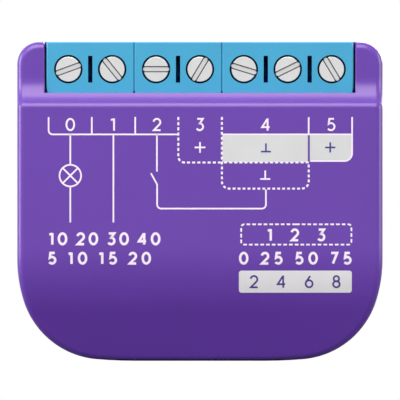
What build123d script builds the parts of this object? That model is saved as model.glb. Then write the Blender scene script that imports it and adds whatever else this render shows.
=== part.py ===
from build123d import *
from math import cos, radians, sin, tan
import os

# Smart relay module for a wall box, in millimetres and degrees.
# X runs along the row of terminals, Y from the printed front (negative) to the
# rear cover (positive), and Z up. The module stands on its lower edge at the origin.

os.makedirs("parts", exist_ok=True)

# Terminal row
pole_pitch = 5.08
block_poles = (2, 2, 3)
block_height = 6.0
block_seam = 0.04
block_edge = 0.12
row_gap = 0.2
notch_edge = 0.12
sill_lap = 0.12
sill_gap = 0.05
foot_drop = 1.0
divider_width = 0.5
divider_height = 3.1
divider_depth = 1.85

# Clamp screw, M2.5 with a slotted cheese head
screw_drop = 3.14
head_d = 3.1
head_thickness = 0.9
head_recess = 0.25
head_round = 0.18
head_gap = 0.1
screw_d = 2.5
screw_tip = 0.2
screw_turns = 4.5
thread_pitch = 0.45
thread_gap = 0.05
tip_gap = 0.1
driver_slot_width = 0.71
driver_slot_depth = 0.5
driver_slot_angles = (20, -51, 0, 59, -17, 26, -59)

# Rising clamp cage and contact bar in each pole
ledge = 0.8
cage_width = 3.9
cage_height = 3.5
cage_wall = 0.6
cage_round = 0.3
cage_floor = 0.9
cage_play = 0.05
cage_rear_gap = 0.475
nut_thickness = 1.2
pocket_gap = 0.1
jaw_left = 0.075
bar_width = 2.0
bar_thickness = 0.6
bar_end_gap = 0.3
leg_height = 0.6
leg_gap = 0.45
pin_width = 1.0
pin_out = 0.6
pin_gap = 0.1
wire_entry_d = 3.0
wire_funnel = 0.3

# Housing
ear_width = 3.37
wall = 1.5
step_depth = 1.65
hollow_r = 3.7
hollow_angle = 47
slope_angle = 50
panel_drop = 7.22
panel_edge_margin = 0.05
top_corner_r = 2.55
toe_arc_r = 51.0
toe_arc_angle = 5
corner_arc_r = 9.7
side_arc_r = 16.0
side_arc_angle = 17.5
bend_height = 12.8
bend_r = 22.0
bend_angle = 18
front_edge_r = 0.8
rear_edge_r = 0.4
rim = 0.9

# Rear cover with its snap arms
cover_thickness = 1.4
cover_gap = 0.1
lip_lap = 0.6
snap_shares = (0.36, 0.73)
snap_width = 3.0
snap_thickness = 0.8
snap_reach = 4.0
snap_nose = 0.45
snap_nose_height = 0.9
snap_gap = 0.15
post_shares = ((0.38, 0.2), (0.4, 0.78))
post_d = 2.0

# Main board
board_thickness = 1.2
board_gap = 0.3
board_rib = 0.9
board_rib_length = 6.0
board_rib_shares = (0.5, 0.85)
rear_room = 2.4

# Relay
relay_width = 12.8
relay_top_gap = 0.7
relay_side_gap = 1.6
relay_shell = 0.5
relay_corner_r = 0.5
relay_bevel = 0.25
relay_headroom = 0.3
relay_fit = 0.05
base_lift = 0.2
base_thickness = 1.0
yoke_thickness = 1.0
yoke_width = 6.0
yoke_side_gap = 0.3
coil_flange = 6.2
coil_side_gap = 0.3
coil_gap = 0.1
flange_thickness = 0.6
bobbin_wall = 0.5
winding_inset = 0.35
core_d = 2.6
core_gap = 0.05
pole_face_d = 4.4
pole_face_thickness = 0.6
armature_thickness = 0.8
armature_angle = 5
armature_gap = 0.05
armature_tail = 0.4
armature_rise = 0.3
armature_side_gap = 0.3
contact_spring = 0.2
contact_spring_width = 2.6
contact_d = 2.2
contact_height = 0.6
contact_left = 0.05
contact_wall_gap = 0.6
contact_tail = 1.5
contact_reach = 4.2
fixed_contact_height = 0.5
blade_thickness = 0.5
blade_width = 2.4
blade_top = 1.3
relay_pin = 0.6

# Transformer with a closed E core
transformer_width = 14.0
transformer_length = 11.6
transformer_headroom = 0.7
core_leg = 2.0
core_centre = 3.8
core_depth = 5.5
bobbin_fit = 0.1
bobbin_flange = 0.5
winding_step = 0.4
transformer_pin = 0.6
transformer_pin_pitch = 3.8

# Lower row: varistor, radio, inductor, rectifier, bulk capacitors and fuse
bottom_margin = 2.4
side_margin = 1.15
part_gap = 0.9
varistor_d = 7.0
varistor_thickness = 3.0
varistor_lift = 1.0
varistor_round = 0.8
lead_d = 0.6
lead_spacing = 5.0
capacitor_d = 6.3
capacitor_length = 10.0
capacitor_gap = 0.5
capacitor_lift = 0.1
capacitor_round = 0.6
capacitor_groove = 0.25
capacitor_lead_spacing = 2.5
bung_length = 0.8
inductor_d = 4.4
inductor_height = 5.0
inductor_flange = 0.8
inductor_waist = 0.8
winding_below = 0.2
fuse_d = 2.6
fuse_length = 8.0
fuse_cap = 1.4
fuse_step = 0.15
fuse_lift = 0.1
rectifier_width = 3.8
rectifier_length = 4.4
rectifier_height = 2.2
rectifier_lead_count = 2
chip_bevel = 0.2
chip_lead = 0.25
chip_lead_width = 0.5
chip_lead_reach = 0.7
radio_width = 12.6
radio_length = 11.5
radio_board_thickness = 0.8
castellation_d = 0.8
castellation_pitch = 1.5
castellation_count = 5
castellation_start = 1.2
shield_width = 9.6
shield_length = 7.6
shield_height = 2.1
shield_sheet = 0.2
shield_round = 0.4
radio_chip_width = 5.0
radio_chip_height = 0.85
radio_chip_bevel = 0.1
radio_margin = 0.6

# Rear side of the board: switch, button, light and controller
button_x = 11.0
button_z = 12.0
button_d = 3.6
button_recess = 0.2
button_round = 0.3
button_mouth = 0.2
button_flange_d = 5.0
button_flange = 0.45
button_gap = 0.05
button_travel = 0.3
plunger_d = 2.0
plunger_foot_d = 2.8
plunger_foot = 0.3
switch_width = 4.6
switch_floor = 0.25
switch_round = 0.46
switch_sheet = 0.15
disc_thickness = 0.1
touch_gap = 0.02
light_offset = 5.0
light_d = 1.8
light_flange_d = 2.8
light_flange = 0.45
light_recess = 0.05
led_width = 1.6
led_depth = 0.8
led_height = 0.6
led_gap = 0.1
controller_x = -8.0
controller_z = 10.0
controller_width = 4.9
controller_length = 3.9
controller_height = 1.4
controller_lead_count = 4

# One overrun for every cut that runs past a face
over = 5.0

# Depth, worked out from the stack in a terminal
poles = sum(block_poles)
cage_travel = screw_turns * thread_pitch
jaw_open = cage_travel + jaw_left
block_depth = (
    head_recess + head_thickness + ledge + cage_play + cage_travel + nut_thickness
    + cage_play + bar_thickness + jaw_open + cage_floor + cage_rear_gap
)
depth = step_depth + block_depth + board_thickness + rear_room + cover_thickness
front_y = -depth / 2
back_y = depth / 2
face_y = front_y + step_depth
head_front_y = face_y + head_recess
head_back_y = head_front_y + head_thickness
pocket_front_y = head_back_y + ledge
cage_front_y = pocket_front_y + cage_play + cage_travel
nut_back_y = cage_front_y + nut_thickness
bar_front_y = nut_back_y + cage_play
bar_back_y = bar_front_y + bar_thickness
floor_front_y = bar_back_y + jaw_open
floor_back_y = floor_front_y + cage_floor
board_front_y = face_y + block_depth
board_back_y = board_front_y + board_thickness
cover_front_y = back_y - cover_thickness
wire_y = bar_back_y + jaw_open / 2

# Width, worked out from the poles, and height, from what lies under the terminals
row_width = poles * pole_pitch
width = row_width + 2 * ear_width
height = (
    block_height + foot_drop + relay_top_gap + relay_width + part_gap
    + 2 * capacitor_d + capacitor_gap + bottom_margin
)
block_bottom = height - block_height
notch_half = row_width / 2 + row_gap
screw_z = height - screw_drop
panel_top = height - panel_drop
cage_bottom = screw_z - cage_height / 2
cage_top = screw_z + cage_height / 2
leg_top = cage_bottom - leg_gap
leg_bottom = leg_top - leg_height
inner_half = width / 2 - wall
board_half = inner_half - board_gap
component_room = board_front_y - front_y - wall

# Snap arms
snap_out = inner_half - snap_gap
snap_in = snap_out - snap_thickness
snap_tip_y = cover_front_y - snap_reach

# Relay: the coil lies along X, the contacts stand beside it
part_right = board_half - side_margin
part_left = -part_right
transformer_left = part_right - transformer_width
relay_right = transformer_left - relay_side_gap
relay_length = relay_right - part_left
relay_top = block_bottom - foot_drop - relay_top_gap
relay_bottom = relay_top - relay_width
relay_height = component_room - relay_headroom
base_top = base_lift + base_thickness
pivot_rise = base_top + yoke_thickness
coil_rise = pivot_rise + coil_gap + coil_flange / 2
coil_z = relay_bottom + relay_shell + coil_side_gap + coil_flange / 2
armature_height = coil_rise + pole_face_d / 2 + armature_rise - pivot_rise
pivot_x = (
    relay_right - relay_shell - armature_side_gap - armature_thickness - contact_spring
    - armature_height * sin(radians(armature_angle))
)
yoke_left = part_left + relay_shell + yoke_side_gap
pole_right = pivot_x - armature_gap
bobbin_left = yoke_left + yoke_thickness + core_gap
bobbin_right = pole_right - pole_face_thickness - core_gap
contact_z = relay_top - relay_shell - contact_wall_gap - blade_width / 2
contact_offset = contact_z - coil_z
blade_right = (
    pivot_x + armature_thickness - contact_height - contact_left - fixed_contact_height
)
coil_pin_x = bobbin_left + flange_thickness / 2
coil_pin_z = coil_flange / 2 - relay_pin

# Lower row, hung from a line below the relay and spread about the middle
row_parts = (varistor_thickness, radio_width, inductor_d, capacitor_length, fuse_d)
row_left = -(sum(row_parts) + part_gap * (len(row_parts) - 1)) / 2
row_top = relay_bottom - part_gap
varistor_x = row_left + varistor_thickness / 2
varistor_z = row_top - varistor_d / 2
radio_left = row_left + varistor_thickness + part_gap
radio_bottom = row_top - radio_length
inductor_x = radio_left + radio_width + part_gap + inductor_d / 2
inductor_z = row_top - inductor_d / 2
rectifier_z = inductor_z - inductor_d / 2 - part_gap - rectifier_length / 2
capacitor_left = inductor_x + inductor_d / 2 + part_gap
capacitor_right = capacitor_left + capacitor_length
capacitor_z = [row_top - capacitor_d * (n + 1 / 2) - capacitor_gap * n for n in range(2)]
fuse_x = capacitor_right + part_gap + fuse_d / 2
transformer_x = transformer_left + transformer_width / 2
transformer_z = relay_top - transformer_length / 2
transformer_rise = (component_room - transformer_headroom) / 2
light_x = button_x - light_offset


def at(y):
    """The upright plane at depth y, seen from the front: sketch X is X, sketch Y is Z."""
    return Plane.XZ.offset(-y)


def above(distance):
    """Depth of a point that stands this far off the board's component side."""
    return board_front_y - distance


def pole_x(pole):
    """Centre of a pole, counted from the left."""
    return (pole - (poles - 1) / 2) * pole_pitch


# What passes through the board: flat pins as x, z, width and height, then round leads
bar_pins = [
    (pole_x(pole), leg_bottom + leg_height / 2, pin_width, leg_height)
    for pole in range(poles)
]
coil_pins = [
    (coil_pin_x, coil_z + side * coil_pin_z, relay_pin, relay_pin) for side in (-1, 1)
]
yoke_pin = (pivot_x - yoke_thickness, coil_z, relay_pin, relay_pin)
blade_pin = (
    blade_right - blade_thickness / 2, contact_z, blade_thickness, pin_width
)
foot_pins = [
    (
        transformer_x + step * transformer_pin_pitch,
        transformer_z + side * (transformer_length / 2 - core_leg - transformer_pin),
        transformer_pin,
        transformer_pin,
    )
    for step in (-1, 0, 1)
    for side in (-1, 1)
]
board_pins = bar_pins + coil_pins + [yoke_pin, blade_pin] + foot_pins
varistor_leads = [
    (varistor_x, varistor_z + side * lead_spacing / 2) for side in (-1, 1)
]
capacitor_leads = [
    (capacitor_left - bung_length / 2, z + side * capacitor_lead_spacing / 2)
    for z in capacitor_z
    for side in (-1, 1)
]
board_leads = varistor_leads + capacitor_leads


def save(piece, name):
    """Labels a finished piece and writes it."""
    piece.part.label = name
    export_step(piece.part, f"parts/{name}.step")


# Outline of the housing, seen from the front
corner_arc_angle = 90 - toe_arc_angle - side_arc_angle
corner_reach = (
    toe_arc_r * sin(radians(toe_arc_angle))
    + corner_arc_r * (sin(radians(90 - side_arc_angle)) - sin(radians(toe_arc_angle)))
    + side_arc_r * (1 - sin(radians(90 - side_arc_angle)))
)
with BuildSketch(Plane.XZ) as outline:
    with BuildLine():
        foot_line = Line((0, 0), (width / 2 - corner_reach, 0))
        toe = JernArc(foot_line @ 1, (1, 0), toe_arc_r, toe_arc_angle)
        corner = JernArc(toe @ 1, toe % 1, corner_arc_r, corner_arc_angle)
        side = JernArc(corner @ 1, corner % 1, side_arc_r, side_arc_angle)
        side_line = Line(side @ 1, (width / 2, height - top_corner_r))
        top_corner = JernArc(side_line @ 1, (0, 1), top_corner_r, 90)
        Line(top_corner @ 1, (0, height))
        mirror(about=Plane.YZ)
    make_face()

# Profile of the front, seen from the side: terminal step, panel and lower bend
hollow_depth = hollow_r * (1 - cos(radians(hollow_angle)))
slope_height = (step_depth - hollow_depth) / tan(radians(slope_angle))
crease = (face_y - hollow_depth, panel_top + slope_height)
rising = (sin(radians(hollow_angle)), cos(radians(hollow_angle)))
panel_edge = (front_y, panel_top)
with BuildSketch(Plane.YZ) as profile:
    with BuildLine():
        hollow = JernArc(crease, rising, hollow_r, hollow_angle)
        upper = Polyline(crease, panel_edge, (front_y, bend_height))
        bend = JernArc(upper @ 1, (0, -1), bend_r, bend_angle)
        fall = PolarLine(
            bend @ 1, bend_height, direction=bend % 1, length_mode=LengthMode.VERTICAL
        )
        Polyline(
            fall @ 1,
            ((fall @ 1).X, -over),
            (back_y + over, -over),
            (back_y + over, height + over),
            (face_y, height + over),
            hollow @ 1,
        )
    make_face()
    fillet(
        profile.vertices().sort_by_distance(panel_edge)[0], front_edge_r + panel_edge_margin
    )

with BuildPart() as cavity:
    with BuildSketch(at(cover_front_y)):
        offset(outline.sketch_local, amount=-wall)
    extrude(amount=depth)
    with BuildSketch(Plane.YZ):
        offset(profile.sketch_local, amount=-wall)
    extrude(amount=width, both=True, mode=Mode.INTERSECT)

with BuildPart() as front_housing:
    with BuildSketch(at(back_y)):
        add(outline.sketch_local)
    extrude(amount=depth)
    with BuildSketch(Plane.YZ):
        add(profile.sketch_local)
    extrude(amount=width, both=True, mode=Mode.INTERSECT)
    # the front's outer edge, without the seams between the faces of the front and of the sides
    fronts = front_housing.edges().filter_by_position(Axis.Y, front_y - over, 0)
    creases = fronts.filter_by(Axis.X).filter_by_position(Axis.Z, over, height - front_edge_r)
    fillet(fronts - fronts.filter_by(Axis.Y) - creases, front_edge_r)
    fillet(front_housing.faces().sort_by(Axis.Y)[-1].edges(), rear_edge_r)
    add(cavity.part, mode=Mode.SUBTRACT)
    with BuildSketch(at(back_y)):
        offset(outline.sketch_local, amount=-rim)
    extrude(amount=cover_thickness, mode=Mode.SUBTRACT)
    # the terminal row's notch, open at the front, the top and the back
    with BuildSketch(at(back_y)):
        with Locations((0, block_bottom - row_gap / 2)):
            Rectangle(2 * notch_half, height, align=(Align.CENTER, Align.MIN))
    extrude(amount=back_y - face_y + sill_gap, mode=Mode.SUBTRACT)
    # its sill laps the lower edge of the blocks' faces
    with BuildSketch(at(face_y)):
        with Locations((0, block_bottom + sill_lap)):
            Rectangle(2 * notch_half, height, align=(Align.CENTER, Align.MIN))
    extrude(amount=step_depth, mode=Mode.SUBTRACT)
    uprights = front_housing.edges().filter_by(Axis.Z)
    chamfer(uprights.sort_by_distance((0, front_y - over, screw_z))[:2], notch_edge)
    # recess of the cover's lip, which laps the notch's sides from behind
    with BuildSketch(at(back_y)):
        with Locations((0, height - wall)):
            Rectangle(2 * (notch_half + lip_lap), height, align=(Align.CENTER, Align.MIN))
    extrude(amount=cover_thickness, mode=Mode.SUBTRACT)
    # ribs that the board lies against
    for share in board_rib_shares:
        with BuildSketch(at(board_front_y)):
            with Locations((0, share * height)):
                Rectangle(2 * inner_half, board_rib)
                Rectangle(2 * (inner_half - board_rib), board_rib, mode=Mode.SUBTRACT)
        extrude(amount=board_rib_length)
    # pockets for the cover's snap arms
    for share in snap_shares:
        with BuildSketch(Plane.XY.offset(share * height - snap_width / 2 - snap_gap)):
            with Locations((0, snap_tip_y - snap_gap)):
                Rectangle(
                    2 * (inner_half + snap_nose + snap_gap),
                    snap_nose_height + 2 * snap_gap,
                    align=(Align.CENTER, Align.MIN),
                )
        extrude(amount=snap_width + 2 * snap_gap, mode=Mode.SUBTRACT)
save(front_housing, "front_housing")

with BuildPart() as rear_cover:
    with BuildSketch(at(back_y)):
        offset(outline.sketch_local, amount=-(rim + cover_gap))
    extrude(amount=cover_thickness)
    # the lip that closes the notch behind the terminals
    for reach, lip_depth in (
        (lip_lap, cover_thickness), (0, back_y - board_front_y - cover_gap)
    ):
        with BuildSketch(at(back_y)):
            with Locations((0, height)):
                Rectangle(
                    2 * (notch_half + reach - cover_gap),
                    wall - cover_gap,
                    align=(Align.CENTER, Align.MAX),
                )
        extrude(amount=lip_depth)
    lip_edge = rear_cover.edges().filter_by(Axis.X).sort_by(Axis.Z).group_by(Axis.Z)[-1]
    fillet(lip_edge.sort_by(Axis.Y)[-1], rear_edge_r)
    for share in snap_shares:
        with BuildSketch(Plane.XY.offset(share * height - snap_width / 2)):
            with BuildLine():
                Polyline(
                    (snap_in, cover_front_y),
                    (snap_in, snap_tip_y),
                    (snap_out, snap_tip_y),
                    (inner_half + snap_nose, snap_tip_y + snap_nose_height),
                    (snap_out, snap_tip_y + snap_nose_height),
                    (snap_out, cover_front_y),
                    close=True,
                )
            make_face()
            mirror(about=Plane.YZ)
        extrude(amount=snap_width)
    # posts that hold the board against the housing's ribs
    with BuildSketch(at(cover_front_y)):
        for x_share, z_share in post_shares:
            with Locations((x_share * width, z_share * height)):
                Circle(post_d / 2)
            with Locations((-x_share * width, z_share * height)):
                Circle(post_d / 2)
    extrude(amount=rear_room - touch_gap)
    # bores of the button and of the light pipe
    with BuildSketch(at(back_y)):
        with Locations((button_x, button_z)):
            Circle(button_d / 2 + button_gap)
        with Locations((light_x, button_z)):
            Circle(light_d / 2 + button_gap)
    extrude(amount=cover_thickness, mode=Mode.SUBTRACT)
    mouth = rear_cover.faces().sort_by(Axis.Y)[-1].edges().filter_by(GeomType.CIRCLE)
    chamfer(mouth.sort_by_distance((button_x, back_y, button_z))[0], button_mouth)
save(rear_cover, "rear_cover")

with BuildPart() as main_board:
    with BuildSketch(at(board_back_y)):
        offset(outline.sketch_local, amount=-(wall + board_gap))
        for share in snap_shares:
            with Locations((0, share * height)):
                Rectangle(width, snap_width + 2 * snap_gap, mode=Mode.SUBTRACT)
                Rectangle(2 * (snap_in - snap_gap), snap_width + 2 * snap_gap)
        for x, z, pin_x, pin_z in board_pins:
            with Locations((x, z)):
                Rectangle(pin_x + 2 * pin_gap, pin_z + 2 * pin_gap, mode=Mode.SUBTRACT)
        for x, z in board_leads:
            with Locations((x, z)):
                Circle(lead_d / 2 + pin_gap, mode=Mode.SUBTRACT)
    extrude(amount=board_thickness)
save(main_board, "main_board")


# Terminals
def terminal_block(first, count):
    """A moulded block for some poles: screw wells in its face, wire entries in its top."""
    left = pole_x(first) - pole_pitch / 2 + block_seam / 2
    right = pole_x(first + count - 1) + pole_pitch / 2 - block_seam / 2
    own_poles = range(first, first + count)
    with BuildPart() as block:
        with BuildSketch(at(board_front_y)):
            with Locations((left, block_bottom)):
                Rectangle(right - left, block_height, align=Align.MIN)
        extrude(amount=block_depth)
        chamfer(block.faces().sort_by(Axis.Y)[0].edges(), block_edge)
        # the foot behind the housing's front wall keeps the block in
        with BuildSketch(at(board_front_y)):
            with Locations((left, block_bottom - foot_drop)):
                Rectangle(right - left, 2 * foot_drop, align=Align.MIN)
        extrude(amount=block_depth - wall - row_gap)
        for pole in own_poles:
            x = pole_x(pole)
            with BuildSketch(at(board_front_y)):
                with Locations((x, screw_z)):
                    Rectangle(cage_width + 2 * pocket_gap, cage_height + 2 * pocket_gap)
            extrude(amount=board_front_y - pocket_front_y, mode=Mode.SUBTRACT)
            with BuildSketch(at(board_front_y)):
                with Locations((x, leg_bottom - pocket_gap)):
                    Rectangle(
                        bar_width + 2 * pocket_gap,
                        cage_bottom - leg_bottom + pocket_gap,
                        align=(Align.CENTER, Align.MIN),
                    )
            extrude(amount=board_front_y - bar_front_y + pocket_gap, mode=Mode.SUBTRACT)
            with BuildSketch(at(pocket_front_y)):
                with Locations((x, screw_z)):
                    Circle(screw_d / 2 + head_gap)
            extrude(amount=block_depth, mode=Mode.SUBTRACT)
            with BuildSketch(at(head_back_y)):
                with Locations((x, screw_z)):
                    Circle(head_d / 2 + head_gap)
            extrude(amount=block_depth, mode=Mode.SUBTRACT)
            with BuildSketch(Plane.XY.offset(screw_z)):
                with Locations((x, wire_y)):
                    Circle(wire_entry_d / 2)
            extrude(amount=height, mode=Mode.SUBTRACT)
        mouths = block.faces().sort_by(Axis.Z)[-1].edges().filter_by(GeomType.CIRCLE)
        chamfer(mouths, wire_funnel)
        # dark slots between the poles
        for pole in own_poles[1:]:
            with BuildSketch(at(face_y + divider_depth)):
                with Locations((pole_x(pole) - pole_pitch / 2, screw_z)):
                    Rectangle(divider_width, divider_height)
            extrude(amount=block_depth, mode=Mode.SUBTRACT)
    return block


first_pole = 0
for number, count in enumerate(block_poles, start=1):
    save(terminal_block(first_pole, count), f"terminal_block_{number}")
    first_pole += count


def clamp_screw(pole):
    """A captive screw whose head lies just below the block's face."""
    centre = (pole_x(pole), screw_z)
    with BuildPart() as screw:
        with BuildSketch(at(head_back_y)):
            with Locations(centre):
                Circle(head_d / 2)
        extrude(amount=head_thickness)
        fillet(screw.edges().sort_by(Axis.Y)[0], head_round)
        with BuildSketch(at(nut_back_y - tip_gap)):
            with Locations(centre):
                Circle(screw_d / 2)
        extrude(amount=nut_back_y - tip_gap - head_back_y)
        chamfer(screw.edges().sort_by(Axis.Y)[-1], screw_tip)
        with BuildSketch(at(head_front_y + driver_slot_depth)):
            with Locations(centre):
                Rectangle(
                    head_d + over, driver_slot_width, rotation=driver_slot_angles[pole]
                )
        extrude(amount=over, mode=Mode.SUBTRACT)
    return screw


def clamp_cage(pole):
    """A ring that the screw draws forward: threaded plate, two sides and the jaw's floor."""
    x = pole_x(pole)
    with BuildPart() as cage:
        with BuildSketch(Plane.XY.offset(cage_bottom)) as section:
            with Locations((x, cage_front_y)):
                Rectangle(
                    cage_width, floor_back_y - cage_front_y, align=(Align.CENTER, Align.MIN)
                )
            fillet(section.vertices(), cage_round)
            with Locations((x, nut_back_y)):
                Rectangle(
                    cage_width - 2 * cage_wall,
                    floor_front_y - nut_back_y,
                    align=(Align.CENTER, Align.MIN),
                    mode=Mode.SUBTRACT,
                )
        extrude(amount=cage_height)
        with BuildSketch(at(nut_back_y)):
            with Locations((x, screw_z)):
                Circle(screw_d / 2 + thread_gap)
        extrude(amount=nut_thickness, mode=Mode.SUBTRACT)
    return cage


def contact_bar(pole):
    """The fixed bar in the jaw, with its leg and the solder pin through the board."""
    x = pole_x(pole)
    with BuildPart() as bar:
        with BuildSketch(at(bar_back_y)):
            with Locations((x, leg_bottom)):
                Rectangle(
                    bar_width,
                    cage_top - bar_end_gap - leg_bottom,
                    align=(Align.CENTER, Align.MIN),
                )
        extrude(amount=bar_thickness)
        with BuildSketch(at(board_front_y - cage_rear_gap)):
            with Locations((x, leg_bottom)):
                Rectangle(bar_width, leg_height, align=(Align.CENTER, Align.MIN))
        extrude(amount=board_front_y - cage_rear_gap - bar_front_y)
        with BuildSketch(at(board_back_y + pin_out)):
            with Locations((x, leg_bottom)):
                Rectangle(pin_width, leg_height, align=(Align.CENTER, Align.MIN))
        extrude(amount=board_back_y + pin_out - bar_front_y)
    return bar


for pole in range(poles):
    save(clamp_screw(pole), f"clamp_screw_{pole + 1}")
    save(clamp_cage(pole), f"clamp_cage_{pole + 1}")
    save(contact_bar(pole), f"contact_bar_{pole + 1}")


# Relay
relay_centre = ((part_left + relay_right) / 2, (relay_bottom + relay_top) / 2)

with BuildPart() as relay_case:
    with BuildSketch(at(board_front_y)):
        with Locations(relay_centre):
            RectangleRounded(relay_length, relay_width, relay_corner_r)
    extrude(amount=relay_height)
    chamfer(relay_case.faces().sort_by(Axis.Y)[0].edges(), relay_bevel)
    with BuildSketch(at(board_front_y)):
        with Locations(relay_centre):
            Rectangle(relay_length - 2 * relay_shell, relay_width - 2 * relay_shell)
    extrude(amount=relay_height - relay_shell, mode=Mode.SUBTRACT)
save(relay_case, "relay_case")

with BuildPart() as relay_base:
    with BuildSketch(at(above(base_lift))):
        with Locations(relay_centre):
            Rectangle(
                relay_length - 2 * (relay_shell + relay_fit),
                relay_width - 2 * (relay_shell + relay_fit),
            )
        for x, z, pin_x, pin_z in coil_pins + [yoke_pin, blade_pin]:
            with Locations((x, z)):
                Rectangle(pin_x + 2 * relay_fit, pin_z + 2 * relay_fit, mode=Mode.SUBTRACT)
    extrude(amount=base_thickness)
save(relay_base, "relay_base")

with BuildPart() as relay_yoke:
    # an L: one leg on the base, the other upright behind the coil
    with BuildSketch(Plane.XY.offset(coil_z - yoke_width / 2)):
        with BuildLine():
            Polyline(
                (pivot_x - armature_gap, above(base_top)),
                (yoke_left, above(base_top)),
                (yoke_left, above(coil_rise + core_d)),
                (yoke_left + yoke_thickness, above(coil_rise + core_d)),
                (yoke_left + yoke_thickness, above(pivot_rise)),
                (pivot_x - armature_gap, above(pivot_rise)),
                close=True,
            )
        make_face()
    extrude(amount=yoke_width)
    with BuildSketch(Plane.YZ.offset(yoke_left)):
        with Locations((above(coil_rise), coil_z)):
            Circle(core_d / 2 + core_gap)
    extrude(amount=yoke_thickness, mode=Mode.SUBTRACT)
    # the solder pin that carries the switched current
    with BuildSketch(at(board_back_y + pin_out)):
        with Locations(yoke_pin[:2]):
            Rectangle(relay_pin, relay_pin)
    extrude(amount=board_back_y + pin_out - above(base_top))
    with BuildSketch(at(above(base_top))):
        for x, z, pin_x, pin_z in coil_pins:
            with Locations((x, z)):
                Rectangle(pin_x + 2 * yoke_side_gap, pin_z + 2 * yoke_side_gap)
    extrude(amount=yoke_thickness, mode=Mode.SUBTRACT)
save(relay_yoke, "relay_yoke")

with BuildPart() as coil_bobbin:
    with BuildSketch(Plane.YZ.offset(bobbin_left)):
        with Locations((above(coil_rise), coil_z)):
            Rectangle(coil_flange, coil_flange)
    extrude(amount=flange_thickness)
    with BuildSketch(Plane.YZ.offset(bobbin_right)):
        with Locations((above(coil_rise), coil_z)):
            Rectangle(coil_flange, coil_flange)
    extrude(amount=-flange_thickness)
    with BuildSketch(Plane.YZ.offset(bobbin_left)):
        with Locations((above(coil_rise), coil_z)):
            Circle(core_d / 2 + core_gap + bobbin_wall)
    extrude(amount=bobbin_right - bobbin_left)
    with BuildSketch(Plane.YZ.offset(bobbin_left)):
        with Locations((above(coil_rise), coil_z)):
            Circle(core_d / 2 + core_gap)
    extrude(amount=bobbin_right - bobbin_left, mode=Mode.SUBTRACT)
save(coil_bobbin, "coil_bobbin")

with BuildPart() as coil_winding:
    with BuildSketch(Plane.YZ.offset(bobbin_left + flange_thickness)):
        with Locations((above(coil_rise), coil_z)):
            Circle(coil_flange / 2 - winding_inset)
            Circle(core_d / 2 + core_gap + bobbin_wall, mode=Mode.SUBTRACT)
    extrude(amount=bobbin_right - bobbin_left - 2 * flange_thickness)
save(coil_winding, "coil_winding")

with BuildPart() as relay_core:
    with BuildSketch(Plane.YZ.offset(yoke_left)):
        with Locations((above(coil_rise), coil_z)):
            Circle(core_d / 2)
    extrude(amount=pole_right - yoke_left)
    with BuildSketch(Plane.YZ.offset(pole_right)):
        with Locations((above(coil_rise), coil_z)):
            Circle(pole_face_d / 2)
    extrude(amount=-pole_face_thickness)
save(relay_core, "relay_core")

with BuildPart() as relay_coil_pins:
    with BuildSketch(at(board_back_y + pin_out)):
        for x, z, pin_x, pin_z in coil_pins:
            with Locations((x, z)):
                Rectangle(pin_x, pin_z)
    extrude(amount=board_back_y + pin_out - above(pivot_rise + coil_gap))
save(relay_coil_pins, "relay_coil_pins")

# The armature leans away from the pole by its closing angle. On its plane, sketch X is Z
# and sketch Y runs up the armature from the pivot.
lean = radians(armature_angle)
armature_plane = Plane(
    origin=(pivot_x, above(pivot_rise), coil_z),
    x_dir=(0, 0, 1),
    z_dir=(cos(lean), sin(lean), 0),
)

with BuildPart() as relay_armature:
    with BuildSketch(armature_plane):
        with Locations((0, -armature_tail)):
            Rectangle(
                yoke_width,
                armature_height + armature_tail,
                align=(Align.CENTER, Align.MIN),
            )
    extrude(amount=armature_thickness)
save(relay_armature, "relay_armature")

with BuildPart() as moving_contact:
    with BuildSketch(armature_plane.offset(armature_thickness)):
        with Locations((-contact_tail, contact_reach)):
            Rectangle(
                contact_offset + contact_tail + contact_d / 2,
                contact_spring_width,
                align=(Align.MIN, Align.CENTER),
            )
    extrude(amount=contact_spring)
    with BuildSketch(armature_plane.offset(armature_thickness)):
        with Locations((contact_offset, contact_reach)):
            Circle(contact_d / 2)
    extrude(amount=-contact_height)
save(moving_contact, "moving_contact")

with BuildPart() as fixed_contact:
    with BuildSketch(Plane.YZ.offset(blade_right)):
        with Locations((above(base_top), contact_z)):
            Rectangle(
                contact_reach + pivot_rise - base_top + blade_top,
                blade_width,
                align=(Align.MAX, Align.CENTER),
            )
        with Locations((board_back_y + pin_out, contact_z)):
            Rectangle(
                board_back_y + pin_out - above(base_top),
                pin_width,
                align=(Align.MAX, Align.CENTER),
            )
    extrude(amount=-blade_thickness)
    with BuildSketch(Plane.YZ.offset(blade_right)):
        with Locations((above(pivot_rise + contact_reach), contact_z)):
            Circle(contact_d / 2)
    extrude(amount=fixed_contact_height)
save(fixed_contact, "fixed_contact")


# Transformer, the core's plane parallel to the board
transformer_centre = (transformer_x, transformer_z)
window_width = (transformer_width - 2 * core_leg - core_centre) / 2
window_length = transformer_length - 2 * core_leg
bobbin_width = core_centre + 2 * (window_width - bobbin_fit)

with BuildPart() as transformer_core:
    with BuildSketch(at(above(transformer_rise - core_depth / 2))):
        with Locations(transformer_centre):
            Rectangle(transformer_width, transformer_length)
            Rectangle(
                transformer_width - 2 * core_leg, window_length, mode=Mode.SUBTRACT
            )
            Rectangle(core_centre, window_length)
    extrude(amount=core_depth)
save(transformer_core, "transformer_core")

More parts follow.
